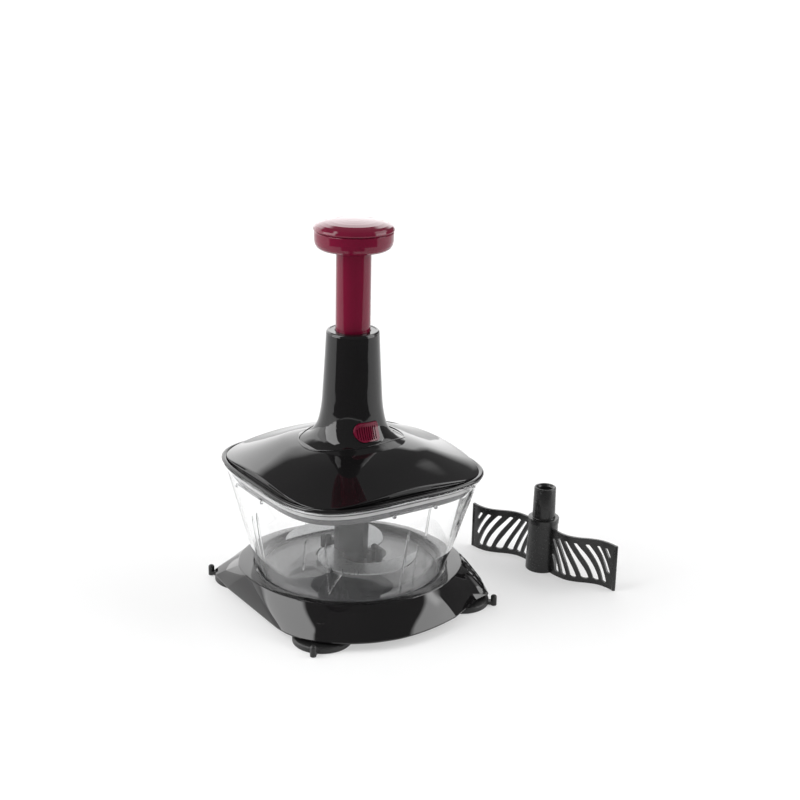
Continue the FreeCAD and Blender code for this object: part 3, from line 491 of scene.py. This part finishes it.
rings.append(ring_of(79.05, 4.2, lambda t: edge_z(t) + 0.12))
rings.append(ring_of(79.42, 4.2, lambda t: edge_z(t) - 0.08))
rings.append(ring_of(79.62, 4.2, lambda t: edge_z(t) - 0.42))
# wall that leans in under the edge, with one fine bead half way down


def wall_z(t, k):
    top = edge_z(t) - 0.75
    return 104.45 + k * max(0.05, top - 104.45)


for a, k in ((79.6, 1.0), (79.25, 0.62), (79.35, 0.56), (79.62, 0.52), (79.66, 0.48), (79.4, 0.43), (79.0, 0.38), (78.5, 0.0)):
    rings.append(ring_of(a, 4.2, lambda t, k=k: wall_z(t, k)))
# groove and slim rounded ring outside it
for a, z in ((78.6, 104.2), (79.6, 104.1), (80.3, 104.35), (80.8, 104.75), (81.4, 105.0), (82.1, 105.08), (82.7, 104.95), (83.15, 104.6), (83.4, 104.1), (83.5, 103.5), (83.42, 103.0), (83.15, 102.75),
             (81.3, 102.75), (81.0, 103.0), (80.9, 103.35), (78.6, 103.4), (77.6, 103.6)):
    rings.append(ring_of(a, 4.0, lambda t, z=z: z))
for a in (77.0, 70.0, 60.0, 50.0, 40.0, 30.0, 18.2):
    rings.append([(x, y, min(z, 200.0)) for x, y, z in dome_ring(a, -2.3)])
v, f = skin(rings, wrap=True)
put(new_object("lid_dome", v, f, M["black_gloss"], 32.0), "lid", "black_gloss", "lid_cover")

# ------------------------------------------------------------ base, rebuilt
# Lower outline of half the base (direction, reach, direction of the matching
# point on the crest, reach of the crest); the other half repeats it.
FOOT = [(130.2, 99.4, 125.5, 82.6), (137.0, 106.6, 142.0, 84.8), (143.0, 103.6, 156.2, 84.9), (156.0, 93.2, 169.4, 83.4), (203.4, 93.0, 171.6, 82.8),
        (210.0, 97.2, 183.0, 81.2), (218.0, 100.6, 198.0, 80.4), (228.0, 102.0, 216.0, 80.0), (238.3, 101.6, 232.0, 79.8), (248.0, 101.0, 244.5, 79.7),
        (258.9, 100.0, 257.0, 79.8), (267.0, 98.5, 265.5, 80.0), (274.5, 97.4, 273.0, 80.3), (282.0, 96.9, 280.0, 80.7), (290.9, 97.3, 287.9, 81.2)]
FULL = FOOT + [(d + 180.0, v, c + 180.0, e) for d, v, c, e in FOOT] + [(FOOT[0][0] + 360.0, FOOT[0][1], FOOT[0][2] + 360.0, FOOT[0][3])]


def foot_at(deg):
    for (d1, r1, c1, e1), (d2, r2, c2, e2) in zip(FULL, FULL[1:]):
        if d1 <= deg <= d2:
            w1, w2, w = math.radians(deg - d1), math.radians(d2 - deg), math.radians(d2 - d1)
            k = (deg - d1) / (d2 - d1)
            return r1 * r2 * math.sin(w) / (r1 * math.sin(w1) + r2 * math.sin(w2)), c1 + k * (c2 - c1), e1 + k * (e2 - e1)
    return FULL[0][1:]


def smooth_foot(deg):
    """The front face is one smooth sweep; the facets beside it stay flat."""
    base_deg = (deg - 130.2) % 180.0 + 130.2
    if 203.4 < base_deg < 290.9:
        acc = [0.0, 0.0, 0.0]
        wsum = 0.0
        for i in range(-6, 7):
            d = base_deg + i * 1.1
            d = min(290.9, max(203.4, d))
            v = foot_at(d)
            wgt = math.exp(-(i / 3.2) ** 2)
            # hold the ends: mirror the shift so the crease keeps its place
            lead = min(1.0, (base_deg - 203.4) / 6.0, (290.9 - base_deg) / 6.0)
            v0 = foot_at(base_deg)
            for q in range(3):
                acc[q] += wgt * (v0[q] + (v[q] - v0[q]) * lead)
            wsum += wgt
        res = [a_ / wsum for a_ in acc]
    else:
        res = list(foot_at(base_deg))
    turn = round((deg - base_deg) / 180.0) * 180.0
    return res[0], res[1] + turn, res[2]


cols = sorted(set([round(130.2 + 0.6 * i, 4) for i in range(600)] + [143.0, 156.0, 203.4, 290.9, 310.2, 323.0, 336.0, 383.4, 470.9]))
cols = [c for i, c in enumerate(cols) if i == 0 or c - cols[i - 1] > 0.08]


def polar(r, deg, z):
    return (r * math.cos(math.radians(deg)), r * math.sin(math.radians(deg)), z)


def grip(deg, v):
    """Upright ridges to grip, on the right wall only."""
    if not 314.0 < deg < 352.0:
        return 0.0
    run = (deg - 314.0) / 4.4
    wave_ = 0.5 - 0.5 * math.cos(2 * math.pi * (run + 0.35 * v))
    ends = min(1.0, max(0.0, (v - 0.10) / 0.07)) * min(1.0, max(0.0, (0.86 - v) / 0.08))
    side = min(1.0, (deg - 314.0) / 1.5, (352.0 - deg) / 1.5)
    return 1.25 * wave_ ** 0.7 * ends * side


ROWS = [0.0, 0.015, 0.04, 0.08, 0.12, 0.17, 0.24, 0.32, 0.42, 0.54, 0.66, 0.76, 0.82, 0.88, 0.93, 0.97, 1.0]
n_rows = None
verts, faces = [], []
for deg in cols:
    rb, tau, rc = smooth_foot(deg)
    col = [polar(0.02, tau, 18.2), polar(40.0, tau, 18.2), polar(72.6, tau, 18.2), polar(72.95, tau, 18.4), polar(73.05, tau, 25.2), polar(73.25, tau, 25.7), polar(73.7, tau, 25.95),
           polar(74.6, tau, 26.0), polar(rc - 1.3, tau, 25.85), polar(rc - 0.55, tau, 25.72), polar(rc - 0.15, tau, 25.5)]
    T, B = Vector(polar(rc + 0.05, tau, 25.15)), Vector(polar(rb, deg, 7.4))
    for v in ROWS:
        P = T.lerp(B, v)
        out_dir = Vector((P.x, P.y, 0)).normalized()
        P = P + out_dir * (0.9 * math.sin(math.pi * v) + grip(deg, v))
        col.append(tuple(P))
    for inset, z in ((0.15, 6.6), (0.5, 6.1), (1.1, 5.85), (2.4, 5.85), (2.7, 6.4)):
        col.append(polar(rb - inset, deg, z))
    col.append(polar(rb - 3.2, deg, 9.0))
    col.append(polar(rc - 2.2, tau, 22.6))
    col.append(polar(76.4, tau, 22.8))
    col.append(polar(75.4, tau, 21.8))
    col.append(polar(75.3, tau, 16.6))
    col.append(polar(74.6, tau, 15.8))
    col.append(polar(40.0, tau, 15.8))
    col.append(polar(0.02, tau, 15.8))
    n_rows = len(col)
    verts += [(x * MM, y * MM, z * MM) for x, y, z in col]
nc = len(cols)
for i in range(nc):
    a, b = i * n_rows, ((i + 1) % nc) * n_rows
    for j in range(n_rows - 1):
        faces.append((a + j, a + j + 1, b + j + 1, b + j))
base_piece = new_object("base_shell_faceted", verts, faces, M["black_gloss"], 11.0)
# The flat floor faces inside the recess take the grey painted-reflection material.
base_piece.data.materials.append(M["recess"])
for pl in base_piece.data.polygons:
    c = pl.center
    if abs(c.z - 18.2 * MM) < 0.0003 and math.hypot(c.x, c.y) < 72.9 * MM:
        pl.material_index = 1
put(base_piece, "base", "black_gloss", "base_shell")
for k, (sx, sy) in enumerate(((-1, -1), (1, -1), (1, 1), (-1, 1))):
    post = lathe("base_cup_post_%d" % k, [(3.0, 8.6), (6.1, 8.6), (6.5, 9.0), (6.5, 16.4), (3.0, 16.4)], M["black_gloss"], 48, 30.0, (60.4 * sx, 60.4 * sy))
    put(post, "base", "black_gloss")

# ------------------------------------------------- liner skirt inside the bowl
rings = []
for a, n, z in ((79.0, 3.78, 103.0), (78.95, 3.77, 100.2), (77.9, 3.75, 98.6), (76.9, 3.72, 96.0), (76.3, 3.68, 91.6), (75.9, 3.66, 91.1), (75.1, 3.66, 91.1), (74.7, 3.66, 91.6), (74.9, 3.7, 96.0), (75.2, 3.74, 103.0)):
    rings.append([(x, y, z) for x, y, z in ring_of(a, n, lambda t, z=z: z)])
v, f = skin(rings, wrap=True)
# The skirt wears the lighter, painted-light copy of the liner grey.
put(new_object("liner_skirt", v, f, M["skirt"], 32.0), "lid", "liner_grey")


def tube(name, pts, radius, material, sides=10):
    """A thin round bead along a line of points (mm)."""
    rings_ = []
    for i, p_ in enumerate(pts):
        a_ = Vector(pts[max(0, i - 1)])
        b_ = Vector(pts[min(len(pts) - 1, i + 1)])
        d_ = (b_ - a_).normalized()
        u_ = d_.cross(Vector((0, 0, 1)) if abs(d_.z) < 0.9 else Vector((1, 0, 0))).normalized()
        w_ = d_.cross(u_)
        k_ = 0.35 if i in (0, len(pts) - 1) else 1.0
        rings_.append([tuple(Vector(p_) + (u_ * math.cos(2 * math.pi * j / sides) + w_ * math.sin(2 * math.pi * j / sides)) * radius * k_) for j in range(sides)])
    v_, f_ = skin(rings_, cap_start=True, cap_end=True)
    return new_object(name, v_, f_, material, 50.0)


# ----------------------------------------------------------- bowl, rebuilt
# Straight-sided at the corners as well as at the middles of its sides.
WALLS = [(18.3, 69.6, 2.0), (26.0, 71.3, 2.05), (36.0, 72.75, 2.2), (46.0, 74.4, 2.4), (56.0, 76.15, 2.55), (70.0, 78.4, 2.78), (84.0, 80.4, 3.13), (100.5, 82.0, 3.8)]


def wall_ring(z, inset):
    a_, n_ = hermite(WALLS, z)
    return ring_of(a_ - inset, n_, lambda t: z)


rings = [ring_of(a, 2.0, lambda t, z=z: z) for a, z in ((0.02, 19.8), (2.5, 19.8), (2.56, 18.4), (2.7, 18.3), (66.6, 18.3), (67.7, 18.38), (68.7, 18.75), (69.4, 19.4), (69.8, 20.3))]
for z in (21.5, 24.0, 28.0, 32.0, 36.0, 41.0, 46.0, 51.0, 56.0, 61.0, 66.0, 70.0, 75.0, 80.0, 84.0, 88.0, 92.0, 96.0, 97.6):
    rings.append(wall_ring(z, 0.0))
for a, z in ((82.0, 98.6), (82.1, 99.4), (82.3, 99.9), (82.7, 100.15), (83.0, 100.5), (83.1, 101.0), (83.1, 102.0), (82.95, 102.4), (82.6, 102.6), (81.0, 102.6), (80.5, 102.4), (80.2, 102.0), (79.75, 100.2)):
    rings.append(ring_of(a, 3.8, lambda t, z=z: z))
for z in (98.0, 96.0, 92.0, 88.0, 84.0, 80.0, 75.0, 70.0, 66.0, 61.0, 56.0, 51.0, 46.0, 41.0, 36.0, 32.0, 28.0, 25.5):
    rings.append(wall_ring(z, 2.4))
for a, z in ((68.1, 23.4), (67.2, 22.2), (65.8, 21.5), (64.0, 21.3), (27.2, 21.3), (26.6, 21.7), (26.0, 22.3), (25.4, 22.5), (10.0, 22.5), (9.4, 22.8), (8.8, 24.0), (8.2, 24.4), (2.8, 24.4), (2.56, 24.2), (2.5, 19.9), (0.02, 19.9)):
    rings.append(ring_of(a, 2.0, lambda t, z=z: z))
rings = [r_ for i, r_ in enumerate(rings) if not 1 <= i <= 3]
v, f = skin(rings[1:-2])
put(new_object("bowl_clear", v, f, M["clear_plastic"], 34.0), "bowl", "clear_plastic", "bowl")

# ------------------------------------------------- raised marks on the bowl
BOWL = WALLS


def on_wall(deg, z, depth):
    a_, n_ = hermite(BOWL, z)
    t_ = math.radians(deg)
    r_ = sq(t_, a_ - depth, a_ - depth, n_)
    return (r_ * math.cos(t_), r_ * math.sin(t_), z)


def wall_line(name, d0, z0, d1, z1, radius, depth):
    pts = [on_wall(d0 + (d1 - d0) * i / 12.0, z0 + (z1 - z0) * i / 12.0, depth) for i in range(13)]
    return put(tube(name, pts, radius, M["clear_plastic"]), "bowl", "clear_plastic")


wall_line("mark_corner_upright", 226.4, 76.6, 225.4, 31.0, 0.9, 3.0)
wall_line("mark_corner_slant", 225.6, 30.0, 234.3, 51.7, 0.75, 2.9)
wall_line("mark_left_upright", 216.8, 76.0, 212.4, 48.5, 0.7, 2.9)
wall_line("mark_front_first", 270.5, 78.2, 268.8, 25.3, 1.0, 2.9)
wall_line("mark_front_second", 277.8, 67.6, 277.7, 28.1, 0.75, 2.9)
wall_line("mark_left_first", 177.9, 79.4, 175.5, 24.6, 1.0, 2.9)
wall_line("mark_left_second", 171.5, 74.0, 172.0, 30.0, 0.75, 2.9)
wall_line("mark_rear_first", 90.5, 78.2, 88.8, 25.3, 1.0, 2.9)
wall_line("mark_right_first", 0.5, 78.2, -1.2, 25.3, 1.0, 2.9)
wall_line("mark_rear_upright", 46.4, 76.6, 45.4, 31.0, 0.9, 3.0)
for nm, d0, d1 in (("front", 259.4, 283.9), ("left", 161.6, 187.9), ("rear", 79.4, 103.9), ("right", -18.4, 7.9)):
    wall_line("strip_" + nm, d0, 94.4, d1, 94.4, 0.75, -0.1)
    for q_, d_ in enumerate((d0, d1)):
        x_, y_, z_ = on_wall(d_, 94.4, 0.4)
        nx, ny = math.cos(math.radians(round(((d0 + d1) / 2) / 90.0) * 90)), math.sin(math.radians(round(((d0 + d1) / 2) / 90.0) * 90))
        tube_ = tube("lug_%s_%d" % (nm, q_), [(x_ + nx * k_, y_ + ny * k_, z_ - 1.6 + 0.25 * k_) for k_ in (-0.6, 0.2, 1.0, 1.6, 2.0)], 1.35, M["clear_plastic"], 14)
        put(tube_, "bowl", "clear_plastic")

# ------------------------------------------- seam round the tower's foot
# It runs low at the sides and climbs on to the flare under the button and
# behind it: degree, radius, height.
SEAM = [(152.0, 39.0, 123.75), (166.0, 39.4, 123.3), (181.0, 39.6, 123.1), (193.0, 38.9, 123.5), (207.0, 36.9, 124.8), (224.0, 35.1, 126.0),
        (240.0, 33.1, 126.75), (254.0, 31.5, 127.1), (269.0, 30.5, 127.35), (293.0, 31.4, 127.4), (312.0, 34.6, 126.2), (332.0, 39.0, 123.75)]
SEAM_WIDE = [(d_ - 180.0, r_, z_) for d_, r_, z_ in SEAM[-4:-1]] + SEAM + [(d_ + 180.0, r_, z_) for d_, r_, z_ in SEAM[1:4]]
seam = []
for k in range(240):
    deg = 1.5 * k
    d_ = 152.0 + (deg - 152.0) % 180.0
    r_, z_ = hermite(SEAM_WIDE, d_)
    seam.append(Vector((r_ * math.cos(math.radians(deg)), r_ * math.sin(math.radians(deg)), z_)))
rings = []
for k in range(10):
    ph = 2 * math.pi * k / 10
    row = []
    for i, c_ in enumerate(seam):
        out_ = Vector((c_.x, c_.y, 0)).normalized()
        row.append(tuple(c_ + out_ * (0.62 * math.cos(ph)) + Vector((0, 0, 0.62 * math.sin(ph)))))
    rings.append(row)
v, f = skin(rings, wrap=True)
put(new_object("foot_seam", v, f, M["black_gloss"], 60.0), "lid", "black_gloss")
put(lathe("liner_sleeve", [(11.65, 66.1), (12.5, 66.1), (12.95, 66.6), (13.0, 93.4), (11.65, 93.4)], M["liner"], 96, 30.0), "lid", "liner_grey")

# -------------------------------------------------------------- loose paddle
from mathutils.geometry import delaunay_2d_cdt

LINE = [(10.5, 0.0), (20.0, 0.4), (29.0, 2.4), (36.0, 7.2), (41.5, 13.0), (48.0, 18.0), (55.5, 20.4), (62.8, 21.0)]
PX, PY = 152.5, -43.0
VH = 37.3


def slot_loop(i):
    top = 12.4 + 6.7 * i - 5.4
    mid = []
    for k in range(41):
        g = k / 40.0
        y = top + 13.0 * (1 - (1 - g) ** 1.6) * 0.55 + 13.0 * g * 0.45
        z = (VH - 5.6) - g * (VH - 10.4)
        hw = 1.35 + 0.65 * g
        if y - hw < 13.4 or y + hw > 59.0:
            continue
        mid.append((y, z, hw))
    if len(mid) < 3:
        return None
    lo = [(y - hw, z) for y, z, hw in mid]
    hi = [(y + hw, z) for y, z, hw in mid]
    cap_top = [(mid[0][0] + mid[0][2] * 0.5, mid[0][1] + 0.75), (mid[0][0] - mid[0][2] * 0.5, mid[0][1] + 0.75)]
    cap_low = [(mid[-1][0] - mid[-1][2] * 0.5, mid[-1][1] - 0.75), (mid[-1][0] + mid[-1][2] * 0.5, mid[-1][1] - 0.75)]
    return lo + cap_low + hi[::-1] + cap_top


def inside(pt, loop):
    x, y = pt
    hit = False
    for (x1, y1), (x2, y2) in zip(loop, loop[1:] + loop[:1]):
        if (y1 > y) != (y2 > y) and x < (x2 - x1) * (y - y1) / (y2 - y1) + x1:
            hit = not hit
    return hit


def vane_mesh(name, sign):
    outer = []
    s0, s1, z0, z1 = 10.5, 62.6, 0.2, VH
    ns, nz = 36, 14
    outer += [(s0 + (s1 - s0) * i / ns, z0) for i in range(ns)]
    outer += [(s1, z0 + (z1 - z0) * i / nz) for i in range(nz)]
    outer += [(s1 - (s1 - s0) * i / ns, z1) for i in range(ns)]
    outer += [(s0, z1 - (z1 - z0) * i / nz) for i in range(nz)]
    loops = [slot_loop(i) for i in range(9)]
    loops = [l_ for l_ in loops if l_]
    pts, edges = [], []
    for loop in [outer] + loops:
        b0 = len(pts)
        pts += loop
        edges += [(b0 + i, b0 + (i + 1) % len(loop)) for i in range(len(loop))]
    for i in range(1, ns):
        for j in range(1, nz):
            q_ = (s0 + (s1 - s0) * i / ns + 0.013, z0 + (z1 - z0) * j / nz + 0.017)
            if not any(inside(q_, l_) for l_ in loops):
                near_ = min(min((q_[0] - a_) ** 2 + (q_[1] - b_) ** 2 for a_, b_ in l_) for l_ in loops)
                if near_ > 0.3:
                    pts.append(q_)
    cv, ce, cf, _, _, _ = delaunay_2d_cdt([Vector(q_) for q_ in pts], edges, [], 0, 1e-6)
    tris = []
    for f_ in cf:
        c_ = (sum(cv[i].x for i in f_) / 3.0, sum(cv[i].y for i in f_) / 3.0)
        if s0 < c_[0] < s1 and z0 < c_[1] < z1 and not any(inside(c_, l_) for l_ in loops):
            tris.append(tuple(f_))
    half = 0.9
    vv = []
    for side in (1, -1):
        for q_ in cv:
            s_ = q_.x
            x = hermite(LINE, s_)[0]
            dx = (hermite(LINE, min(62.8, s_ + 0.2))[0] - hermite(LINE, max(10.5, s_ - 0.2))[0]) / (min(62.8, s_ + 0.2) - max(10.5, s_ - 0.2))
            nrm = Vector((1.0, -dx)).normalized()
            vv.append(((PX + sign * (x + side * half * nrm.x)) * MM, (PY - sign * (s_ + side * half * nrm.y)) * MM, q_.y * MM))
    nv_ = len(cv)
    ff = [t_ for t_ in tris] + [(a_ + nv_, c_ + nv_, b_ + nv_) for a_, b_, c_ in tris]
    count = {}
    for t_ in tris:
        for a_, b_ in ((t_[0], t_[1]), (t_[1], t_[2]), (t_[2], t_[0])):
            count.setdefault((min(a_, b_), max(a_, b_)), []).append((a_, b_))
    for e_ in count.values():
        if len(e_) == 1:
            a_, b_ = e_[0]
            ff.append((b_, a_, a_ + nv_, b_ + nv_))
    return new_object(name, vv, ff, M["paddle_black"], 38.0)


pad_hub = lathe("paddle_hub", [(2.56, 0.2), (12.1, 0.2), (12.4, 0.5), (11.65, 39.0), (11.75, 39.35), (12.1, 39.6), (12.15, 40.0), (12.15, 43.4), (11.9, 43.85), (9.3, 43.95), (8.95, 44.3), (8.5, 68.3), (8.25, 68.85),
                               (7.9, 69.0), (7.2, 69.0), (6.9, 68.8), (5.5, 67.4), (5.3, 67.0), (5.2, 47.0), (0.01, 47.0), (0.01, 26.0), (2.56, 26.0)], M["paddle_black"], 96, 28.0, (PX, PY))
put(pad_hub, "paddle", "paddle_black", "mixing_paddle")
for sign in (1, -1):
    put(vane_mesh("paddle_vane_%s" % ("front" if sign > 0 else "rear"), sign), "paddle", "paddle_black")
    edge_ = lathe("paddle_edge_%s" % ("front" if sign > 0 else "rear"), [(0.01, 0.2), (1.3, 0.2), (1.55, 0.5), (1.55, VH - 0.3), (1.3, VH), (0.01, VH)], M["paddle_black"], 24, 40.0, (PX + sign * 21.0, PY - sign * 62.8))
    put(edge_, "paddle", "paddle_black")

# ---------------------------------------------------------- blade carrier hub
hub_piece = lathe("hub_column", [(2.56, 25.4), (12.2, 25.4), (13.0, 26.2), (13.0, 35.9), (12.85, 36.4), (12.85, 37.8), (13.0, 38.3), (13.0, 64.9), (12.5, 65.4), (8.4, 65.5), (8.4, 91.4), (7.8, 92.0),
                                 (5.4, 92.0), (5.1, 91.6), (5.1, 69.0), (0.01, 69.0), (0.01, 51.2), (2.56, 50.3)], M["hub_black"], 96, 28.0)
put(hub_piece, "blades", "hub_black", "blade_hub")
ld = math.radians(-67.0)
for k, sgn in enumerate((1, -1)):
    cx, sx = math.cos(ld) * sgn, math.sin(ld) * sgn
    for q_, (u_, v_, zl, zh, rr_) in enumerate(((20.3, 1.8, 30.0, 43.6, 2.8), (25.4, 0.0, 31.0, 42.0, 2.5), (19.4, -3.0, 29.0, 38.8, 2.3))):
        ctr = (u_ * cx - v_ * sx, u_ * sx + v_ * cx)
        post = lathe("finger_%d_%d" % (k, q_), [(0.01, zl), (rr_ - 0.4, zl), (rr_, zl + 0.4), (rr_, zh - rr_ * 0.9), (rr_ * 0.92, zh - rr_ * 0.5), (rr_ * 0.7, zh - rr_ * 0.2), (rr_ * 0.4, zh - 0.1), (0.01, zh)], M["hub_black"], 28, 40.0, ctr)
        put(post, "blades", "hub_black")
    web = []
    for z in (31.0, 31.4, 38.6, 39.0):
        ins = 0.3 if z in (31.0, 39.0) else 0.0
        web.append([(u_ * cx - v_ * sx, u_ * sx + v_ * cx, z) for u_, v_ in ((10.0, -1.6 + ins), (24.4 - ins, -1.3 + ins), (24.9 - ins, 0.0), (24.4 - ins, 1.3 - ins), (10.0, 1.6 - ins))])
    v, f = skin(web, cap_start=True, cap_end=True)
    put(new_object("finger_web_%d" % k, v, f, M["hub_black"], 35.0), "blades", "hub_black")
